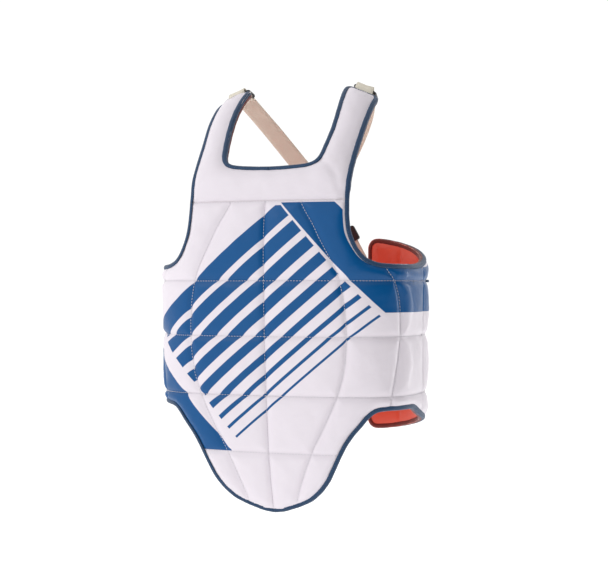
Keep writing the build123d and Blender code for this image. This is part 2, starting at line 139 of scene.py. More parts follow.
TAB_A = spline_table(STATIONS[:, 0], STATIONS[:, 1])
TAB_F = spline_table(STATIONS[:, 0], STATIONS[:, 2])
TAB_B = spline_table(STATIONS[:, 0], STATIONS[:, 3])
TOP = catmull(WING_TOP)
LOW = catmull(WING_LOW)
hem_c, arm_c, neck_c, seam_c, side_c = map(catmull, (HEM, ARM, NECK, SEAM,
                                                     SIDE_SEAM))

# unit section, from the middle of the front to the middle of the back
_t = np.linspace(-math.pi / 2, math.pi / 2, 6001)
_cx = np.abs(np.cos(_t)) ** (2 / POWER)
_cy = np.sign(np.sin(_t)) * np.abs(np.sin(_t)) ** (2 / POWER)
_run = np.concatenate([[0], np.cumsum(np.hypot(np.diff(_cx * 173),
                                               np.diff(_cy * 112)))])
S_END = float(_run[-1])


def unit(s):
    return np.interp(s, _run, _cx), np.interp(s, _run, _cy)


def s_of_x_front(x, z):
    """Distance round the section at which the front reaches x."""
    half = len(_run) // 2
    return np.interp(np.asarray(x) / np.interp(z, *TAB_A), _cx[:half],
                     _run[:half])


def lower(s, z):
    """Edge surface point and its outward direction."""
    cx, cy = unit(s)
    a, f, b = (np.interp(z, *t) for t in (TAB_A, TAB_F, TAB_B))
    p = np.stack([a * cx, np.where(cy < 0, f, b) * cy,
                  z + 0 * cx], -1)
    n = np.stack([cx, cy, 0 * cx], -1)
    return p, n


def seg_dist(px, pz, line):
    """Distance of each point from a line of points."""
    shape = px.shape
    px, pz = px.ravel(), pz.ravel()
    best = np.full(px.shape, 1e9)
    for (x0, z0), (x1, z1) in zip(line[:-1], line[1:]):
        dx, dz = x1 - x0, z1 - z0
        L = dx * dx + dz * dz
        if L < 1e-12:
            continue
        t = np.clip(((px - x0) * dx + (pz - z0) * dz) / L, 0, 1)
        best = np.minimum(best, (px - x0 - t * dx) ** 2
                          + (pz - z0 - t * dz) ** 2)
    return np.sqrt(best).reshape(shape)


def inside_poly(px, pz, poly):
    res = np.zeros(px.shape, bool)
    n = len(poly)
    for i in range(n):
        x0, z0 = poly[i]
        x1, z1 = poly[(i + 1) % n]
        if z0 == z1:
            continue
        hit = ((z0 > pz) != (z1 > pz)) & (
            px < (x1 - x0) * (pz - z0) / (z1 - z0) + x0)
        res ^= hit
    return res


FRONT_POLY = np.vstack([hem_c, arm_c, neck_c])
FRONT_POLY[:, 0] = np.where(FRONT_POLY[:, 0] <= 0.01, -5.0, FRONT_POLY[:, 0])


def round_min(a, b, r):
    c = r - np.sqrt(np.clip(r - a, 0, None) ** 2 + np.clip(r - b, 0, None) ** 2)
    return np.where((a < r) & (b < r), c, np.minimum(a, b))


def edge_lower(s, z):
    """Distance inwards from the bound edge, negative outside."""
    p, _ = lower(s, z)
    x, y = p[..., 0], p[..., 1]
    d = np.minimum(seg_dist(x, z, hem_c), seg_dist(x, z, arm_c))
    d = np.where(inside_poly(x, z, FRONT_POLY), d, -d)
    top = np.interp(y, TOP[:, 0], TOP[:, 1]) - z
    low = z - np.interp(y, LOW[:, 0], LOW[:, 1])
    rear = np.where(y > 0, x - REAR_X, 400.0)
    w = np.minimum(round_min(top, rear, 16.0), round_min(low, rear, 16.0))
    return np.where(y < -25.0, d, w)


SEAM_SZ = np.stack([s_of_x_front(seam_c[:, 0], seam_c[:, 1]), seam_c[:, 1]], 1)
SIDE_SZ = np.stack([s_of_x_front(side_c[:, 0], side_c[:, 1]), side_c[:, 1]], 1)
S_W1 = float(np.interp(0.125, _cy[_cy > -0.2], _run[_cy > -0.2]))
S_W2 = float(_run[(np.abs(_cx - 128 / 172) + (_cy < 0) * 9).argmin()])


def quilt_lower(s, z):
    """Distance from the nearest line of quilting."""
    q = np.full(np.broadcast(s, z).shape, 1e9)
    for r in ROWS:
        q = np.minimum(q, np.abs(z - r))
    q = np.minimum(q, np.abs(s))
    q = np.minimum(q, seg_dist(s, z, SEAM_SZ))
    q = np.minimum(q, seg_dist(s, z, SIDE_SZ))
    q = np.minimum(q, np.abs(s - S_W1))
    q = np.minimum(q, np.abs(s - S_W2))
    return np.clip(np.minimum(q, YOKE_Z - z), 0, None)


def swell(x, y, z, scale=26.0, seed=0.0):
    """Slow unevenness of a stuffed sheet, -1 to 1."""
    k = 2 * math.pi / scale
    return (np.sin(x * k * 0.61 + z * k * 0.23 + 1.3 + seed)
            * np.sin(z * k * 0.57 - y * k * 0.31 + 0.7 + seed)
            + 0.6 * np.sin(x * k * 1.13 - z * k * 0.9 + 2.1 + seed)
            * np.sin(y * k * 0.7 + z * k * 1.27 + seed)) / 1.6


def soft_min(a, b, k=1.4):
    return -np.log(np.exp(-k * a) + np.exp(-k * b)) / k


def outer_d(e, q, w):
    edge = 0.2 + 7.0 * (1 - np.exp(-np.clip(e - 4.8, 0, None) / 8.0))
    seam = 0.4 + 2.7 * (1 - np.exp(-(q / 3.2) ** 1.3)) \
        + 3.7 * (1 - np.exp(-q / 20.0))
    return soft_min(edge, seam) + 0.35 * w * np.clip(q / 12, 0, 1)


def inner_d(e, q, w):
    edge = 6.6 + 4.4 * (1 - np.exp(-np.clip(e - 4.8, 0, None) / 8.0))
    seam = 7.4 + 1.6 * (1 - np.exp(-(q / 3.0) ** 1.3)) \
        + 1.6 * (1 - np.exp(-q / 18.0))
    return -soft_min(edge, seam) + 0.25 * w


CREST_C = catmull(CREST)


def yoke_profile(x, count):
    fall = FALL * 4.0 * math.log1p(math.exp((abs(x) - STRAP_IN) / 4.0))
    start = YOKE_Z + fall
    line = CREST_C
    keep = (line[:, 1] > start + 0.5) | (line[:, 0] > 0)
    first_y = np.interp(start, line[~keep][-1:, 1].tolist()
                        + line[keep][:1, 1].tolist(),
                        line[~keep][-1:, 0].tolist()
                        + line[keep][:1, 0].tolist())
    pts = np.vstack([[first_y, start], line[keep]])
    run = np.concatenate([[0], np.cumsum(np.hypot(*np.diff(pts, axis=0).T))])
    s = np.linspace(0, run[-1], count)
    y, z = np.interp(s, run, pts[:, 0]), np.interp(s, run, pts[:, 1])
    ty, tz = np.gradient(y), np.gradient(z)
    ty, tz = smooth(ty, 5), smooth(tz, 5)
    L = np.hypot(ty, tz)
    n = np.stack([-tz / L, ty / L], 1)
    k = np.clip(1 - np.arange(count) / 6.0, 0, 1)[:, None]
    n = n * (1 - k) + np.array([[-1.0, 0.0]]) * k
    n /= np.linalg.norm(n, axis=1)[:, None]
    drop = 105.6 * (1 - (1 - (abs(x) / 174.0) ** POWER) ** (1 / POWER))
    fade = np.clip((150.0 + fall * 0.5 - z) / 44.0, 0, 1)
    fade = fade * fade * (3 - 2 * fade)
    y = y + (drop - (105.6 + first_y)) * fade
    return np.stack([np.full(count, x), y, z - fall], 1), \
        np.stack([np.zeros(count), n[:, 0], n[:, 1]], 1)


def smooth(v, n):
    pad = np.concatenate([np.repeat(v[:1], n), v, np.repeat(v[-1:], n)])
    k = np.ones(2 * n + 1) / (2 * n + 1)
    return np.convolve(pad, k, "valid")


DENT = catmull([(70.0, 156.0), (80.0, 148.0), (89.0, 138.0), (95.0, 124.0),
                (100.0, 108.0)])


# ---------------------------------------------------------------------------
# Meshes
# ---------------------------------------------------------------------------
def trim(E):
    """Marching squares on E > 0. Returns grid samples, faces, edge chain."""
    ny, nx = E.shape
    ins = E > 0
    index = -np.ones(E.shape, int)
    index[ins] = np.arange(ins.sum())
    ii, jj = np.nonzero(ins)
    samples = [ii, jj, ii, jj, np.zeros(len(ii))]
    extra, keys = [], {}

    def corner(i, j):
        return int(index[i, j])

    def cross(i0, j0, i1, j1):
        key = (i0, j0, i1, j1) if (i0, j0) < (i1, j1) else (i1, j1, i0, j0)
        if key not in keys:
            a, b = E[key[0], key[1]], E[key[2], key[3]]
            keys[key] = len(ii) + len(extra)
            extra.append((*key, a / (a - b)))
        return keys[key]

    full = ins[:-1, :-1] & ins[1:, :-1] & ins[:-1, 1:] & ins[1:, 1:]
    some = ins[:-1, :-1] | ins[1:, :-1] | ins[:-1, 1:] | ins[1:, 1:]
    fi, fj = np.nonzero(full)
    quads = np.stack([index[fi, fj], index[fi, fj + 1],
                      index[fi + 1, fj + 1], index[fi + 1, fj]], 1)
    faces = quads.tolist()
    links = {}
    for i, j in zip(*np.nonzero(some & ~full)):
        ring = [(i, j), (i, j + 1), (i + 1, j + 1), (i + 1, j)]
        poly, out_at, in_at = [], None, None
        for k in range(4):
            a, b = ring[k], ring[(k + 1) % 4]
            if ins[a]:
                poly.append(corner(*a))
            if ins[a] != ins[b]:
                c = cross(*a, *b)
                poly.append(c)
                if ins[a]:
                    out_at = c
                else:
                    in_at = c
        if len(poly) >= 3:
            faces.append(poly)
        if out_at is not None and in_at is not None:
            links[out_at] = in_at
    if extra:
        ex = np.array(extra)
        samples = [np.concatenate([samples[k], ex[:, k].astype(int)])
                   for k in range(4)] + [np.concatenate([samples[4], ex[:, 4]])]
    starts = set(links) - set(links.values())
    best = []
    for st in (starts or set(list(links)[:1])):
        chain, cur = [st], st
        while cur in links and len(chain) < len(links) + 2:
            cur = links[cur]
            chain.append(cur)
        if len(chain) > len(best):
            best = chain
    return samples, faces, best


def pick(samples, G):
    i0, j0, i1, j1, t = samples
    t = t.reshape((-1,) + (1,) * (G.ndim - 2))
    return G[i0, j0] * (1 - t) + G[i1, j1] * t


def new_mesh(name, verts_mm, faces, mats, mat_index=None, attrs=None,
             flip=False):
    me = bpy.data.meshes.new(name)
    v = np.asarray(verts_mm, float) * MM
    if flip:
        v = v * np.array([-1.0, 1, 1])
        faces = [list(reversed(f)) for f in faces]
    me.from_pydata(v.tolist(), [], faces)
    for m in mats:
        me.materials.append(m)
    if mat_index is not None:
        me.polygons.foreach_set("material_index", np.asarray(mat_index, np.int32))
    me.polygons.foreach_set("use_smooth", np.ones(len(me.polygons), bool))
    for k, a in (attrs or {}).items():
        a = np.asarray(a, np.float32)
        at = me.attributes.new(k, "FLOAT_VECTOR", "POINT")
        at.data.foreach_set("vector", a.ravel())
    me.update()
    ob = bpy.data.objects.new(name, me)
    scene.collection.objects.link(ob)
    return ob


def boundary_edges(faces):
    seen = {}
    for f in faces:
        for a, b in zip(f, f[1:] + f[:1]):
            if (b, a) in seen:
                del seen[(b, a)]
            else:
                seen[(a, b)] = 1
    return list(seen)


def pad(name, P, N, E, Q, dev, mats, flip, extra_d=None):
    """Closed pad from a trimmed grid: face, reverse and the wall between."""
    samples, faces, chain = trim(E)
    p, n, e, q, dv = (pick(samples, G) for G in (P, N, E, Q, dev))
    w = swell(*(p * [(-1 if flip else 1), 1, 1]).T)
    od = outer_d(e, q, w)
    if extra_d is not None:
        od = od + pick(samples, extra_d)
    idd = inner_d(e, q, w)
    outer, inner = p + n * od[:, None], p + n * idd[:, None]
    k = len(p)
    verts = [outer, inner]
    allf = list(faces) + [[v + k for v in reversed(f)] for f in faces]
    index = [0] * len(faces) + [1] * len(faces)
    be = boundary_edges(faces)
    used = sorted({v for ab in be for v in ab})
    wall = {v: 2 * k + i for i, v in enumerate(used)}
    m = len(used)
    verts += [outer[used], inner[used]]
    for a, b in be:
        allf.append([wall[b], wall[a], wall[a] + m, wall[b] + m])
        index.append(2)
    dd = np.vstack([dv, dv, dv[used], dv[used]])
    if flip:
        dd = dd * np.array([-1.0, 1, 1])
    ev = np.stack([e, q, 0 * e], 1)
    ob = new_mesh(name, np.vstack(verts), allf, mats, index,
                  {"dev": dd, "edge": np.vstack([ev, ev, ev[used], ev[used]])},
                  flip)
    cp, cn = p[chain], n[chain]
    return ob, cp, cn


def resample(P, N, step=2.2, smooth_n=2):
    P = P.copy()
    for _ in range(smooth_n):
        P[1:-1] = P[1:-1] * 0.5 + (P[:-2] + P[2:]) * 0.25
    run = np.concatenate([[0], np.cumsum(np.linalg.norm(np.diff(P, axis=0),
                                                        axis=1))])
    n = max(int(run[-1] / step), 2)
    s = np.linspace(0, run[-1], n + 1)
    P2 = np.stack([np.interp(s, run, P[:, k]) for k in range(3)], 1)
    N2 = np.stack([np.interp(s, run, N[:, k]) for k in range(3)], 1)
    for _ in range(3):
        P2[1:-1] = P2[1:-1] * 0.5 + (P2[:-2] + P2[2:]) * 0.25
    N2 /= np.linalg.norm(N2, axis=1)[:, None]
    return P2, N2, s


def frames(P, N):
    T = np.gradient(P, axis=0)
    T /= np.linalg.norm(T, axis=1)[:, None]
    B = np.cross(N, T)
    B /= np.linalg.norm(B, axis=1)[:, None]
    N = np.cross(T, B)
    return T, N, B


OUTER_TAPE = [(5.8, 0.1), (5.6, 1.15), (4.5, 1.55), (2.8, 1.85), (1.0, 1.35),
              (-0.2, 0.1), (-0.6, -1.5), (-0.65, -3.15), (0.3, -3.15),
              (0.4, -1.3), (1.2, 0.1), (2.8, 0.6), (4.6, 0.3)]
INNER_TAPE = [(b, -6.4 - n) for b, n in reversed(OUTER_TAPE)]


def sweep(name, P, N, prof, mat, flip, s):
    T, N, B = frames(P, N)
    prof = np.array(prof)
    m, n = len(prof), len(P)
    wob = 0.14 * np.sin(s * 0.31) + 0.1 * np.sin(s * 0.83 + 1)
    V = (P[:, None] + B[:, None] * (prof[None, :, :1] + wob[:, None, None] * 0.6)
         + N[:, None] * (prof[None, :, 1:] + wob[:, None, None] * 0.5))
    faces = []
    for i in range(n - 1):
        for k in range(m):
            a, b = i * m + k, i * m + (k + 1) % m
            faces.append([a, b, b + m, a + m])
    faces.append(list(range(m))[::-1])
    faces.append([(n - 1) * m + k for k in range(m)])
    run = np.concatenate([[0], np.cumsum(np.hypot(*np.diff(prof, axis=0).T))])
    dv = np.stack([np.repeat(s, m), np.tile(run, n), np.zeros(n * m)], 1)
    return new_mesh(name, V.reshape(-1, 3), faces, [mat], None, {"dev": dv},
                    flip)


def stitches(name, P, T, N, mat, flip, length=2.6, r=0.42):
    """Short raised thread stitches, one mesh."""
    verts, faces = [], []
    B = np.cross(N, T)
    for p, t, n, b in zip(P, T, N, B):
        base = len(verts)
        for u, k in ((-0.5, 0.25), (-0.28, 0.95), (0.28, 0.95), (0.5, 0.25)):
            for a in range(5):
                g = 2 * math.pi * a / 5
                verts.append(p + t * (u * length) + b * (math.cos(g) * r * k)
                             + n * (math.sin(g) * r * k - (0.25 if k < 0.5
                                                           else 0.0)))
        for ring in range(3):
            for a in range(5):
                i0, i1 = base + ring * 5 + a, base + ring * 5 + (a + 1) % 5
                faces.append([i0, i1, i1 + 5, i0 + 5])
        faces.append([base + a for a in range(5)][::-1])
        faces.append([base + 15 + a for a in range(5)])
    return new_mesh(name, verts, faces, [mat], None, None, flip)


def spaced(P, N, pitch):
    P2, N2, s = resample(P, N, pitch, 0)
    T, N2, B = frames(P2, N2)
    return P2, T, N2, B


# ---------------------------------------------------------------------------
# Materials
# ---------------------------------------------------------------------------
def lin(r, g, b):
    f = lambda c: (c / 255) / 12.92 if c <= 10 else ((c / 255 + 0.055) / 1.055) ** 2.4
    return (f(r), f(g), f(b), 1.0)


class Graph:
    def __init__(self, name):
        self.mat = bpy.data.materials.new(name)
        self.mat.use_nodes = True
        self.nt = self.mat.node_tree
        self.bsdf = self.nt.nodes["Principled BSDF"]

    def put(self, sock, v):
        if isinstance(v, bpy.types.NodeSocket):
            self.nt.links.new(v, sock)
        else:
            sock.default_value = v

    def math(self, op, a, b=0.0, c=None, clamp=False):
        n = self.nt.nodes.new("ShaderNodeMath")
        n.operation = op
        n.use_clamp = clamp
        self.put(n.inputs[0], a)
        self.put(n.inputs[1], b)
        if c is not None:
            self.put(n.inputs[2], c)
        return n.outputs[0]

    def dev(self):
        n = self.nt.nodes.new("ShaderNodeAttribute")
        n.attribute_name = "dev"
        s = self.nt.nodes.new("ShaderNodeSeparateXYZ")
        self.nt.links.new(n.outputs["Vector"], s.inputs[0])
        return s.outputs[0], s.outputs[1], s.outputs[2], n.outputs["Vector"]

    def edge(self):
        n = self.nt.nodes.new("ShaderNodeAttribute")
        n.attribute_name = "edge"
        s = self.nt.nodes.new("ShaderNodeSeparateXYZ")
        self.nt.links.new(n.outputs["Vector"], s.inputs[0])
        return s.outputs[0]

    def half(self, x, z, a, b, c, w=0.5):
        """1 where a x + b z > c, with a soft edge w wide."""
        L = math.hypot(a, b)
        v = self.math("MULTIPLY", x, a / L / w)
        v = self.math("MULTIPLY_ADD", z, b / L / w, v)
        return self.math("ADD", v, 0.5 - c / L / w, clamp=True)

    def all_of(self, *v):
        out = v[0]
        for k in v[1:]:
            out = self.math("MINIMUM", out, k)
        return out

    def any_of(self, *v):
        out = v[0]
        for k in v[1:]:
            out = self.math("MAXIMUM", out, k)
        return out

    def noise(self, scale, detail=3.0, vector=None, rough=0.55):
        n = self.nt.nodes.new("ShaderNodeTexNoise")
        n.inputs["Scale"].default_value = scale
        n.inputs["Detail"].default_value = detail
        n.inputs["Roughness"].default_value = rough
        if vector is None:
            t = self.nt.nodes.new("ShaderNodeTexCoord")
            vector = t.outputs["Object"]
        self.nt.links.new(vector, n.inputs["Vector"])
        return n.outputs["Fac"]

    def mix(self, f, a, b):
        n = self.nt.nodes.new("ShaderNodeMix")
        n.data_type = "RGBA"
        self.put(n.inputs["Factor"], f)
        self.put(n.inputs[6], a)
        self.put(n.inputs[7], b)
        return n.outputs[2]

    def shade(self, f, a, b):
        n = self.nt.nodes.new("ShaderNodeMix")
        n.data_type = "RGBA"
        n.blend_type = "MULTIPLY"
        self.put(n.inputs["Factor"], f)
        self.put(n.inputs[6], a)
        self.put(n.inputs[7], b)
        return n.outputs[2]

    def bump(self, height, strength, distance, normal=None):
        n = self.nt.nodes.new("ShaderNodeBump")
        n.inputs["Strength"].default_value = strength
        n.inputs["Distance"].default_value = distance
        self.nt.links.new(height, n.inputs["Height"])
        if normal is not None:
            self.nt.links.new(normal, n.inputs["Normal"])
        return n.outputs[0]

    def set(self, **kw):
        for k, v in kw.items():
            self.put(self.bsdf.inputs[k.replace("_", " ")], v)


def line_half(g, x, z, p, q):
    """1 on the left of the line from p to q."""
    dx, dz = q[0] - p[0], q[1] - p[1]
    return g.half(x, z, -dz, dx, -dz * p[0] + dx * p[1])


WHITE = lin(229, 222, 229)
BLUE = lin(0, 80, 138)


def vinyl(name, base, printed):
    g = Graph(name)
    x, y, z, vec = g.dev()
    tone = g.noise(9.0, 2.0)
    if printed:
        c40, s40 = math.cos(math.radians(40.7)), math.sin(math.radians(40.7))
        along = g.math("MULTIPLY_ADD", z, s40, g.math("MULTIPLY", x, c40))
        t = g.math("MULTIPLY_ADD", z, c40, g.math("MULTIPLY", x, -s40))
        behind = g.half(y, y, -1, 0, -24.0)
        # solid field over the left of the chest
        upper = g.all_of(line_half(g, x, z, (21, 104.5), (153, -42)),
                         g.half(x, z, 0, -1, -103.5), g.half(x, z, 0, 1, -36.0),
                         g.half(x, z, -0.38, -0.925, -131.0),
                         g.half(x, z, -0.70, -0.71, -137.0),
                         g.half(g.math("MULTIPLY_ADD", g.math(
                             "MULTIPLY_ADD", z, 1 / 45.0, -20.0 / 45.0,
                             clamp=True), -3.4, g.edge()), z, 1, 0, 5.0),
                         g.half(y, y, -1, 0, -56.0))
        # solid field at the lower right
        lower_f = g.all_of(line_half(g, x, z, (-60, -204), (-180, -70)),
                           g.half(x, z, 0, 1, -216.0),
                           g.half(x, z, -1, 0, 51.0), behind)
        # straight stripes of graduated width between them
        bands = [(44, 66), (18, 36), (-7, 9), (-31, -17), (-54, -42),
                 (-75, -66), (-93, -87), (-109, -105), (-124, -121)]
        st = None
        for a, b in bands:
            k = g.all_of(g.half(t, t, 1, 0, a), g.half(t, t, -1, 0, -b))
            st = k if st is None else g.any_of(st, k)
        ends = g.all_of(g.half(along, along, 1, 0, -160.0),
                        g.half(along, along, -1, 0, -82.0),
                        g.half(x, z, 0, -1, -100.0), g.half(y, y, -1, 0, 20.0))
        blue = g.any_of(upper, lower_f, g.all_of(st, ends))
        base = g.mix(blue, base, BLUE)
    colour = g.shade(g.math("MULTIPLY", tone, 0.22), base,
                     (0.80, 0.80, 0.84, 1.0))
    grain = g.noise(1500.0, 2.0)
    crease = g.noise(95.0, 4.0, None, 0.6)
    wide = g.noise(26.0, 2.0)
    n1 = g.bump(wide, 0.25, 0.006)
    n2 = g.bump(crease, 0.22, 0.0016, n1)
    n3 = g.bump(grain, 0.18, 0.00012, n2)
    g.set(Base_Color=colour, Normal=n3, Coat_Weight=0.15, Coat_Roughness=0.16,
          Specular_IOR_Level=0.2, IOR=1.5)
    g.put(g.bsdf.inputs["Roughness"],
          g.math("MULTIPLY_ADD", g.noise(60.0, 3.0), 0.16, 0.30))
    return g.mat


def tape(name, base, dark, slot_rough=0.62):
    g = Graph(name)
    u, v, _, vec = g.dev()
    ribs = g.math("SINE", g.math("MULTIPLY", u, 2 * math.pi / 0.9))
    cross = g.math("SINE", g.math("MULTIPLY", v, 2 * math.pi / 0.7))
    weave = g.math("MULTIPLY_ADD", g.math("MULTIPLY", ribs, cross), 0.5, 0.5)
    c = g.mix(weave, dark, base)
    c = g.mix(g.math("MULTIPLY", g.noise(120.0, 3.0), 0.25), c, dark)
    g.set(Base_Color=c, Normal=g.bump(weave, 0.35, 0.0002), Sheen_Weight=0.15,
          Sheen_Roughness=0.5, Specular_IOR_Level=0.3)
    g.put(g.bsdf.inputs["Roughness"],
          g.math("MULTIPLY_ADD", weave, -0.12, slot_rough))
    return g.mat


def plastic(name, base):
    g = Graph(name)
    c = g.mix(g.noise(40.0, 3.0), base, tuple(min(k * 1.5 + 0.004, 1)
                                               for k in base[:3]) + (1.0,))
    n = g.bump(g.noise(1100.0, 2.0), 0.25, 0.0001)
    g.set(Base_Color=c, Normal=n, Specular_IOR_Level=0.5, IOR=1.46)
    g.put(g.bsdf.inputs["Roughness"],
          g.math("MULTIPLY_ADD", g.noise(200.0, 2.0), 0.12, 0.32))
    return g.mat


face_mat = vinyl("face_vinyl", WHITE, True)
plain_mat = vinyl("face_vinyl_plain", WHITE, False)
red_mat = vinyl("reverse_vinyl", lin(220, 88, 66), False)
patch_mat = vinyl("patch_vinyl", lin(42, 76, 112), False)
foam_mat = tape("foam_edge", lin(236, 232, 220), lin(214, 208, 194), 0.85)
navy_mat = tape("face_binding", lin(40, 78, 116), lin(18, 40, 66))
rust_mat = tape("reverse_binding", lin(126, 44, 34), lin(84, 26, 20))
web_mat = tape("webbing", lin(238, 232, 218), lin(206, 198, 180), 0.7)
black_mat = plastic("black_plastic", lin(24, 24, 27))
thread_mat = tape("thread", lin(232, 228, 232), lin(196, 192, 200), 0.6)
blue_thread = tape("binding_thread", lin(66, 108, 150), lin(38, 70, 104), 0.6)

# ---------------------------------------------------------------------------
# Pads
# ---------------------------------------------------------------------------
STEP = 2.2
s_grid = np.arange(0.0, S_END - 60.0, STEP)
z_grid = np.linspace(-302.0, YOKE_Z, int(408 / STEP) + 1)
SG, ZG = np.meshgrid(s_grid, z_grid)
LP, LN = lower(SG, ZG)
LE = edge_lower(SG, ZG)
LQ = quilt_lower(SG, ZG)

yx = np.arange(0.0, 117.0, STEP)
rows_n = int(260 / STEP)
cols = [yoke_profile(float(x), rows_n) for x in yx]
YP = np.stack([c[0] for c in cols], 1)
YN = np.stack([c[1] for c in cols], 1)
tan_x = np.gradient(YP, axis=1)
tan_q = np.gradient(YP, axis=0)
nrm = np.cross(tan_x, tan_q)
nrm /= np.linalg.norm(nrm, axis=2)[..., None] + 1e-12
k = np.clip(np.arange(rows_n) / 8.0, 0, 1)[:, None, None]
low_p, low_n = lower(s_of_x_front(yx, YOKE_Z), YOKE_Z + 0 * yx)
nrm = nrm * k + low_n[None] * (1 - k)
YN = nrm / np.linalg.norm(nrm, axis=2)[..., None]
x_, y_, z_ = YP[..., 0], YP[..., 1], YP[..., 2]
d_line = np.minimum(seg_dist(x_, z_, arm_c), seg_dist(x_, z_, neck_c))
inside = inside_poly(x_, z_, FRONT_POLY)
YE = np.where(inside, d_line, -d_line)
YE = round_min(YE, np.where(z_ > 200, STRAP_END - y_, 200.0), 7.0)
yq = np.concatenate([[0], np.cumsum(np.linalg.norm(
    np.diff(YP[:, 0], axis=0), axis=1))])
YQ = np.repeat(yq[:, None], len(yx), 1)
YQ = np.minimum(YQ, 60.0)


def dent(P, flip):
    if flip:
        return np.zeros(P.shape[:2])
    d = seg_dist(P[..., 0], P[..., 2], DENT)
    return -1.7 * np.exp(-(d / 5.0) ** 2) * (P[..., 1] < 20)


made = {}


def blended(ob):
    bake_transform(ob)


def quilting_lines():
    """Stitch lines of the lower part as lists of (s, z)."""
    out = []
    for r in ROWS:
        s = np.linspace(0.0, S_END - 80, 900)
        out.append(np.stack([s, np.full(900, r)], 1))
    out.append(SEAM_SZ)
    out.append(SIDE_SZ)
    for sv in (S_W1, S_W2):
        zz = np.linspace(-220, 80, 600)
        out.append(np.stack([np.full(600, sv), zz], 1))
    s = np.linspace(0.0, 170, 500)
    out.append(np.stack([s, np.full(500, YOKE_Z - 1.2)], 1))
    zz = np.linspace(-300, YOKE_Z, 500)
    out.append(np.stack([np.full(500, 0.0), zz], 1))
    return out


for flip in (False, True):
    side = "right" if flip else "left"
    ob, cp, cn = pad(f"pad_lower_{side}", LP, LN, LE, LQ, LP,
                     [face_mat, red_mat, foam_mat], flip)
    blended(ob)
    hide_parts("front_foam", "front_cover_middle",
                f"front_cover_side_{side}", "front_lining",
                f"wing_foam_{side}", f"wing_cover_{side}",
                f"wing_lining_{side}")
    P, N, s = resample(cp, cn, 2.2, 3)
    for label, prof, mat, slot in (
            ("outer", OUTER_TAPE, navy_mat, "face_binding"),
            ("inner", INNER_TAPE, rust_mat, "reverse_binding")):
        tp = sweep(f"binding_lower_{label}_{side}", P, N, prof, mat, flip, s)
        blended(tp)
        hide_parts(f"hem_binding_{label}",
                    f"armhole_binding_{label}_{side}",
                    f"wing_binding_{label}_{side}")
    P2, T2, N2, B2 = spaced(P, N, 3.4)
    th = stitches(f"binding_stitches_lower_{side}",
                  (P2 + B2 * 4.7 + N2 * 1.55)[1:-1], T2[1:-1], N2[1:-1],
                  blue_thread, flip, 2.4, 0.38)
    blended(th)

    # quilting stitches
    pts, tans, nors = [], [], []
    for line in quilting_lines():
        run = np.concatenate([[0], np.cumsum(np.hypot(*np.diff(line, axis=0).T))])
        q = np.arange(1.0, run[-1], 4.0)
        ls, lz = np.interp(q, run, line[:, 0]), np.interp(q, run, line[:, 1])
        p, n = lower(ls, lz)
        e = edge_lower(ls, lz)
        t = np.gradient(p, axis=0)
        t /= np.linalg.norm(t, axis=1)[:, None] + 1e-12
        w = swell(*(p * [(-1 if flip else 1), 1, 1]).T)
        d = outer_d(e, np.full(e.shape, 1.25), w)
        ok = (e > 7.0) & (lz < YOKE_Z - 0.5)
        if np.all(np.abs(line[:, 0]) < 0.01) and flip:
            ok &= False
        pts.append((p + n * (d + 0.12)[:, None])[ok])
        tans.append(t[ok])
        nors.append(n[ok])
    th = stitches(f"quilting_stitches_{side}", np.vstack(pts), np.vstack(tans),
                  np.vstack(nors), thread_mat, flip, 2.9, 0.34)
    blended(th)

    # yoke and strap
    yo, cp, cn = pad(f"pad_yoke_{side}", YP, YN, YE, YQ, YP,
                     [plain_mat, red_mat, foam_mat], flip,
                     dent(YP, flip))
    blended(yo)
    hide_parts("yoke_foam", "yoke_cover", "yoke_lining",
                f"strap_foam_{side}", f"strap_cover_{side}",
                f"strap_lining_{side}")
    P, N, s = resample(cp, cn, 2.2, 3)
    for label, prof, mat, slot in (
            ("outer", OUTER_TAPE, navy_mat, "face_binding"),
            ("inner", INNER_TAPE, rust_mat, "reverse_binding")):
        tp = sweep(f"binding_yoke_{label}_{side}", P, N, prof, mat, flip, s)
        blended(tp)
        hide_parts(f"neck_binding_{label}",
                    f"strap_binding_{label}_{side}")
    P2, T2, N2, B2 = spaced(P, N, 3.4)
    th = stitches(f"binding_stitches_yoke_{side}",
                  (P2 + B2 * 4.7 + N2 * 1.55)[1:-1], T2[1:-1], N2[1:-1],
                  blue_thread, flip, 2.4, 0.38)
    blended(th)

# ---------------------------------------------------------------------------
# Webbing and trim of the closure
# ---------------------------------------------------------------------------
def unitv(v):
    v = np.array(v, float)
    return v / np.linalg.norm(v)


def ribbon(name, points, sides, width, thick, mat, flip, dense=6, ends=True):
    P = catmull(points, dense)
    S = catmull(sides, dense)
    T = np.gradient(P, axis=0)
    T /= np.linalg.norm(T, axis=1)[:, None]
    S = S - T * (S * T).sum(1)[:, None]
    S /= np.linalg.norm(S, axis=1)[:, None]
    N = np.cross(T, S)
    run = np.concatenate([[0], np.cumsum(np.linalg.norm(np.diff(P, axis=0),
                                                        axis=1))])
    h = thick / 2
    w = width / 2
    prof = [(-w, -h * 0.3), (-w + 0.5, -h), (-w * 0.5, -h), (0, -h),
            (w * 0.5, -h), (w - 0.5, -h), (w, -h * 0.3), (w, h * 0.3),
            (w - 0.5, h), (w * 0.5, h), (0, h), (-w * 0.5, h),
            (-w + 0.5, h), (-w, h * 0.3)]
    m, n = len(prof), len(P)
    V, D = [], []
    for i in range(n):
        for a, b in prof:
            V.append(P[i] + S[i] * a + N[i] * b)
            D.append((run[i], a, 0.0))
    faces = []
    for i in range(n - 1):
        for k in range(m):
            a, b = i * m + k, i * m + (k + 1) % m
            faces.append([a, a + m, b + m, b])
    faces.append(list(range(m)))
    faces.append([(n - 1) * m + k for k in range(m)][::-1])
    return new_mesh(name, V, faces, [mat], None, {"dev": D}, flip), P, S, N


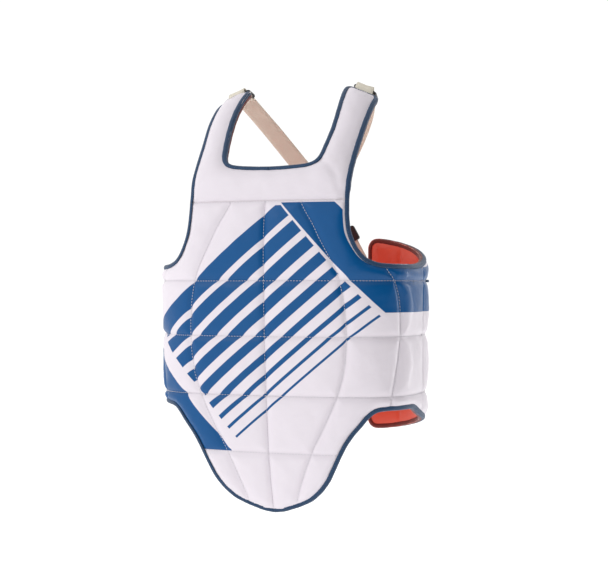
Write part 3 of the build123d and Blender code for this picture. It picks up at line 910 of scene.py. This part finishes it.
across = unitv([1.0, 0.0, -0.44])
tail = np.array([0, 0.93, -0.3676])
tail = unitv(tail - across * tail.dot(across))
lift = np.cross(across, tail)
lift = lift if lift[2] > 0 else -lift
bar_mid = np.array([91.5, 25.6, 261.8])
far_bar = bar_mid + tail * 16.0
start_w = far_bar + tail * 4.7
arm_top, arm_low = np.array([15.0, 119.0, 103.0]), np.array([84.0, 115.6, -20.0])
arm_dir = unitv(arm_low - arm_top)
side_v = np.array([0.872, 0, 0.489])
side_v = unitv(side_v - arm_dir * side_v.dot(arm_dir))


def box_stitch(name, c, u, v, n, hu, hv, flip, mat, cross=True):
    """Rectangle of stitches with a cross in it."""
    lines = [(-hu, -hv, hu, -hv), (hu, -hv, hu, hv), (hu, hv, -hu, hv),
             (-hu, hv, -hu, -hv)]
    if cross:
        lines += [(-hu, -hv, hu, hv), (-hu, hv, hu, -hv)]
    P, T, N = [], [], []
    for a, b, e, f in lines:
        L = math.hypot(e - a, f - b)
        k = max(int(L / 2.9), 2)
        for i in range(k):
            t = (i + 0.5) / k
            P.append(c + u * (a + (e - a) * t) + v * (b + (f - b) * t))
            T.append(unitv(u * (e - a) + v * (f - b)))
            N.append(n)
    return stitches(name, np.array(P), np.array(T), np.array(N), mat, flip,
                    2.1, 0.36)


for flip in (False, True):
    side = "right" if flip else "left"

    # shoulder webbing
    ob, P, S, N = ribbon(
        f"webbing_upper_{side}",
        [start_w, start_w + tail * 6.0, (78.0, 72.0, 236.0),
         (64.0, 91.0, 214.0), (45.0, 107.0, 186.0), (30.0, 115.0, 165.5),
         (17.5, 118.8, 149.5)],
        [(1, 0, -0.44), (1, 0.06, -0.5), (1, 0.15, -0.6), (1, 0.1, -0.75),
         (1, 0.05, -0.85), (1, 0.02, -0.85), (1, 0, -0.82)],
        25.0, 1.6, web_mat, flip)
    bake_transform(ob)
    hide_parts(f"back_webbing_upper_{side}")

    # the same webbing folded round the far bar of the ring
    r = 2.0 + 0.4 + 0.8
    ang = np.radians(np.arange(-40, -321, -14.0))
    loop = [far_bar + tail * (math.cos(a) * r) + lift * (math.sin(a) * r)
            for a in ang]
    ob, *_ = ribbon(f"webbing_fold_{side}_cloth", loop, [across] * len(loop),
                    25.0, 1.5, web_mat, flip, 2)
    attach(ob, f"{side}_ring")
    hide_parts(f"webbing_fold_{side}")

    # tab on the strap end, folded round the near bar
    col = int(round(91.5 / STEP))
    top = []
    for yy in (6.0, 9.0, 12.0, 15.0):
        i = int(np.abs(YP[:, col, 1] - yy).argmin())
        e = YE[i, col]
        top.append(YP[i, col] - YN[i, col] * 0.6)
    rr = 2.0 + 0.45 + 0.8
    ang = np.radians(np.arange(90, -91, -15.0))
    bend = [bar_mid + tail * (math.cos(a) * rr) + lift * (math.sin(a) * rr)
            for a in ang]
    path = top + [bar_mid - tail * 5.5 + lift * (rr + 0.2)] + bend \
        + [bar_mid - tail * 6.5 - lift * rr]
    ob, *_ = ribbon(f"ring_tab_{side}_cloth", path, [across] * len(path),
                    25.0, 1.5, web_mat, flip, 3)
    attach(ob, f"{side}_strap")
    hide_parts(f"ring_tab_{side}")
    i = int(np.abs(YP[:, col, 1] - 1.0).argmin())
    tdir = unitv(YP[i + 2, col] - YP[i - 2, col])
    n = unitv(YN[i, col])
    c = YP[i, col] + n * (float(outer_d(np.array(14.0), np.array(60.0),
                                        np.array(0.0))) + 0.1)
    ob = box_stitch(f"ring_tab_{side}_stitches", c, across, tdir, n,
                    8.0, 6.0, flip, thread_mat)
    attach(ob, f"{side}_strap")

    # straight webbing down to the wing
    ob, P, S, N = ribbon(
        f"webbing_lower_{side}",
        [arm_top, arm_top * 0.5 + arm_low * 0.5, arm_low], [side_v] * 3,
        25.0, 1.6, web_mat, flip, 26)
    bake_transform(ob)
    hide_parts(f"back_webbing_lower_{side}")
    out_n = unitv(np.cross(side_v, arm_dir))
    out_n = out_n if out_n[1] > 0 else -out_n
    ob = box_stitch(f"webbing_lower_{side}_stitches",
                    arm_low - arm_dir * 11 + out_n * 0.9, side_v, arm_dir,
                    out_n, 9.5, 9.0, flip, thread_mat)
    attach(ob, f"{side}_wing")

    # waist webbing
    ob, P, S, N = ribbon(
        f"waist_webbing_{side}_cloth",
        [(98.0, 113.4, -112), (88.0, 114.9, -112), (78.0, 115.6, -112),
         (70.0, 114.6, -112), (64.0, 112.8, -112), (57.0, 111.9, -112),
         (36.0, 111.8, -112), (19.5, 111.8, -112)], [(0, 0, 1)] * 8, 25.0, 1.6, web_mat, flip)
    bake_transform(ob)
    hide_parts(f"waist_webbing_{side}")
    ob = box_stitch(f"waist_webbing_{side}_stitches",
                    np.array([88.5, 115.7, -112.0]),
                    unitv([1, -0.13, 0]), np.array([0, 0, 1.0]),
                    unitv([0.13, 1, 0]), 8.0, 9.5, flip, thread_mat)
    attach(ob, f"{side}_wing")


# small tab sewn into the side of the left wing
p, n = lower(np.array([float(np.interp(0.42, _cy[_cy > -0.2],
                                       _run[_cy > -0.2]))]), np.array([4.0]))
tab_o, tab_n = p[0], n[0]
ob, *_ = ribbon("side_tab_cloth", [tab_o + tab_n * 0.4, tab_o + tab_n * 1.8,
                                   tab_o + tab_n * 3.4 + np.array([0, 2.0, 0]),
                                   tab_o + tab_n * 3.9 + np.array([0, 5.0, 0])],
                [(0, 0, 1)] * 4, 3.4, 1.0, navy_mat, False, 4)
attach(ob, "left_wing")


# cross patch
def patch_mesh():
    n = 34
    h = 33.0
    v, f, d = [], [], []
    for layer in (0, 1):
        for i in range(n + 1):
            for j in range(n + 1):
                a, b = -1 + 2 * i / n, -1 + 2 * j / n
                # rounded square from a square grid
                r = (abs(a) ** 7 + abs(b) ** 7) ** (1 / 7) + 1e-9
                m = max(abs(a), abs(b)) / r
                x, z = a * h * m, b * h * m
                e = (1 - max(abs(a), abs(b))) * h
                puff = 1.0 - 0.9 * math.exp(-e / 1.2)
                y = 121.5 + (2.2 * puff + 0.45 * math.exp(
                    -((e - 5.0) / 1.3) ** 2) * -1.0 if layer else 0.0)
                v.append((x, y, 128.0 + z))
                d.append((x, z, 0))
    k = (n + 1) ** 2
    for i in range(n):
        for j in range(n):
            a = i * (n + 1) + j
            q = [a, a + 1, a + n + 2, a + n + 1]
            f.append(q[::-1])
            f.append([w + k for w in q])
    rim = [i * (n + 1) for i in range(n)] \
        + [n * (n + 1) + j for j in range(n)] \
        + [(n - i) * (n + 1) + n for i in range(n)] + [n - j for j in range(n)]
    for a, b in zip(rim, rim[1:] + rim[:1]):
        f.append([a, b, b + k, a + k])
    return v, f, d


pv, pf, pd = patch_mesh()
patch = new_mesh("back_patch_cloth", pv, pf, [patch_mat], None, {"dev": pd})
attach(patch, "front")
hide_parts("back_patch")
ob = box_stitch("back_patch_stitches", np.array([0, 123.45, 128.0]),
                np.array([1.0, 0, 0]), np.array([0, 0, 1.0]),
                np.array([0, 1.0, 0]), 26.5, 26.5, False, thread_mat)
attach(ob, "front")

for name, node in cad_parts.items():
    if name.startswith(("shoulder_ring", "slide_adjuster", "buckle_")):
        node.data.materials.clear()
        node.data.materials.append(black_mat)

# ---------------------------------------------------------------------------
# Floor, light and camera
# ---------------------------------------------------------------------------
def flat_mat(name, rgb, rough, glow=0.0):
    g = Graph(name)
    c = g.mix(g.noise(3.0, 2.0), rgb, tuple(min(k * 1.01, 1) for k in rgb[:3])
              + (1.0,))
    g.set(Base_Color=c, Specular_IOR_Level=0.2)
    if glow:
        g.set(Emission_Color=(1.0, 1.0, 1.0, 1.0), Emission_Strength=glow)
    g.put(g.bsdf.inputs["Roughness"],
          g.math("MULTIPLY_ADD", g.noise(20.0, 2.0), 0.05, rough))
    return g.mat


me = bpy.data.meshes.new("floor")
z0 = -0.62
me.from_pydata([(-7, -7, z0), (7, -7, z0), (7, 7, z0), (-7, 7, z0)], [],
               [[0, 1, 2, 3]])
floor = bpy.data.objects.new("floor", me)
me.materials.append(flat_mat("floor", (0.95, 0.95, 0.95, 1.0), 0.9, 0.3))
scene.collection.objects.link(floor)

world = bpy.data.worlds.new("studio")
scene.world = world
world.use_nodes = True
bg = world.node_tree.nodes["Background"]
nt = world.node_tree
tc = nt.nodes.new("ShaderNodeTexCoord")
dot = nt.nodes.new("ShaderNodeVectorMath")
dot.operation = "DOT_PRODUCT"
dot.inputs[1].default_value = (0.94, -0.10, -0.30)
nt.links.new(tc.outputs["Generated"], dot.inputs[0])
rng = nt.nodes.new("ShaderNodeMapRange")
rng.interpolation_type = "SMOOTHSTEP"
rng.inputs["From Min"].default_value = 0.12
rng.inputs["From Max"].default_value = 0.58
rng.inputs["To Min"].default_value = 1.06
rng.inputs["To Max"].default_value = 0.02
nt.links.new(dot.outputs["Value"], rng.inputs["Value"])
nt.links.new(rng.outputs["Result"], bg.inputs["Color"])
bg.inputs["Strength"].default_value = 1.0


def area(name, loc, target, size, power, size_y=None):
    li = bpy.data.lights.new(name, "AREA")
    li.energy = power
    li.shape = "RECTANGLE"
    li.size = size
    li.size_y = size_y or size
    o = bpy.data.objects.new(name, li)
    o.location = loc
    d = Vector(target) - Vector(loc)
    o.rotation_euler = d.to_track_quat("-Z", "Y").to_euler()
    scene.collection.objects.link(o)
    return o


area("key", (-1.5, -1.9, 1.4), (0, 0, 0.05), 1.5, 9)
area("strip", (1.49, 1.30, 0.1), (0.1, 0, -0.05), 0.22, 9, 1.5)
area("fill", (1.6, -2.4, 0.2), (0, 0, 0), 1.8, 0.5)
area("back", (0.2, 2.4, 1.2), (0, 0, 0.0), 1.8, 2)

th = math.radians(20.0)
fwd = np.array([-math.sin(th), math.cos(th), 0])
rgt = np.array([math.cos(th), math.sin(th), 0])
cam_p = -fwd * 1.8 + rgt * 0.0128
cam = bpy.data.cameras.new("camera")
cam.sensor_width = 36.0
cam.lens = 1333.0 / 608.0 * 36.0
cam.dof.use_dof = False
co = bpy.data.objects.new("camera", cam)
co.location = tuple(cam_p)
co.rotation_euler = Vector(tuple(fwd)).to_track_quat("-Z", "Y").to_euler()
scene.collection.objects.link(co)
scene.camera = co

scene.view_settings.view_transform = "Standard"
scene.view_settings.look = "None"
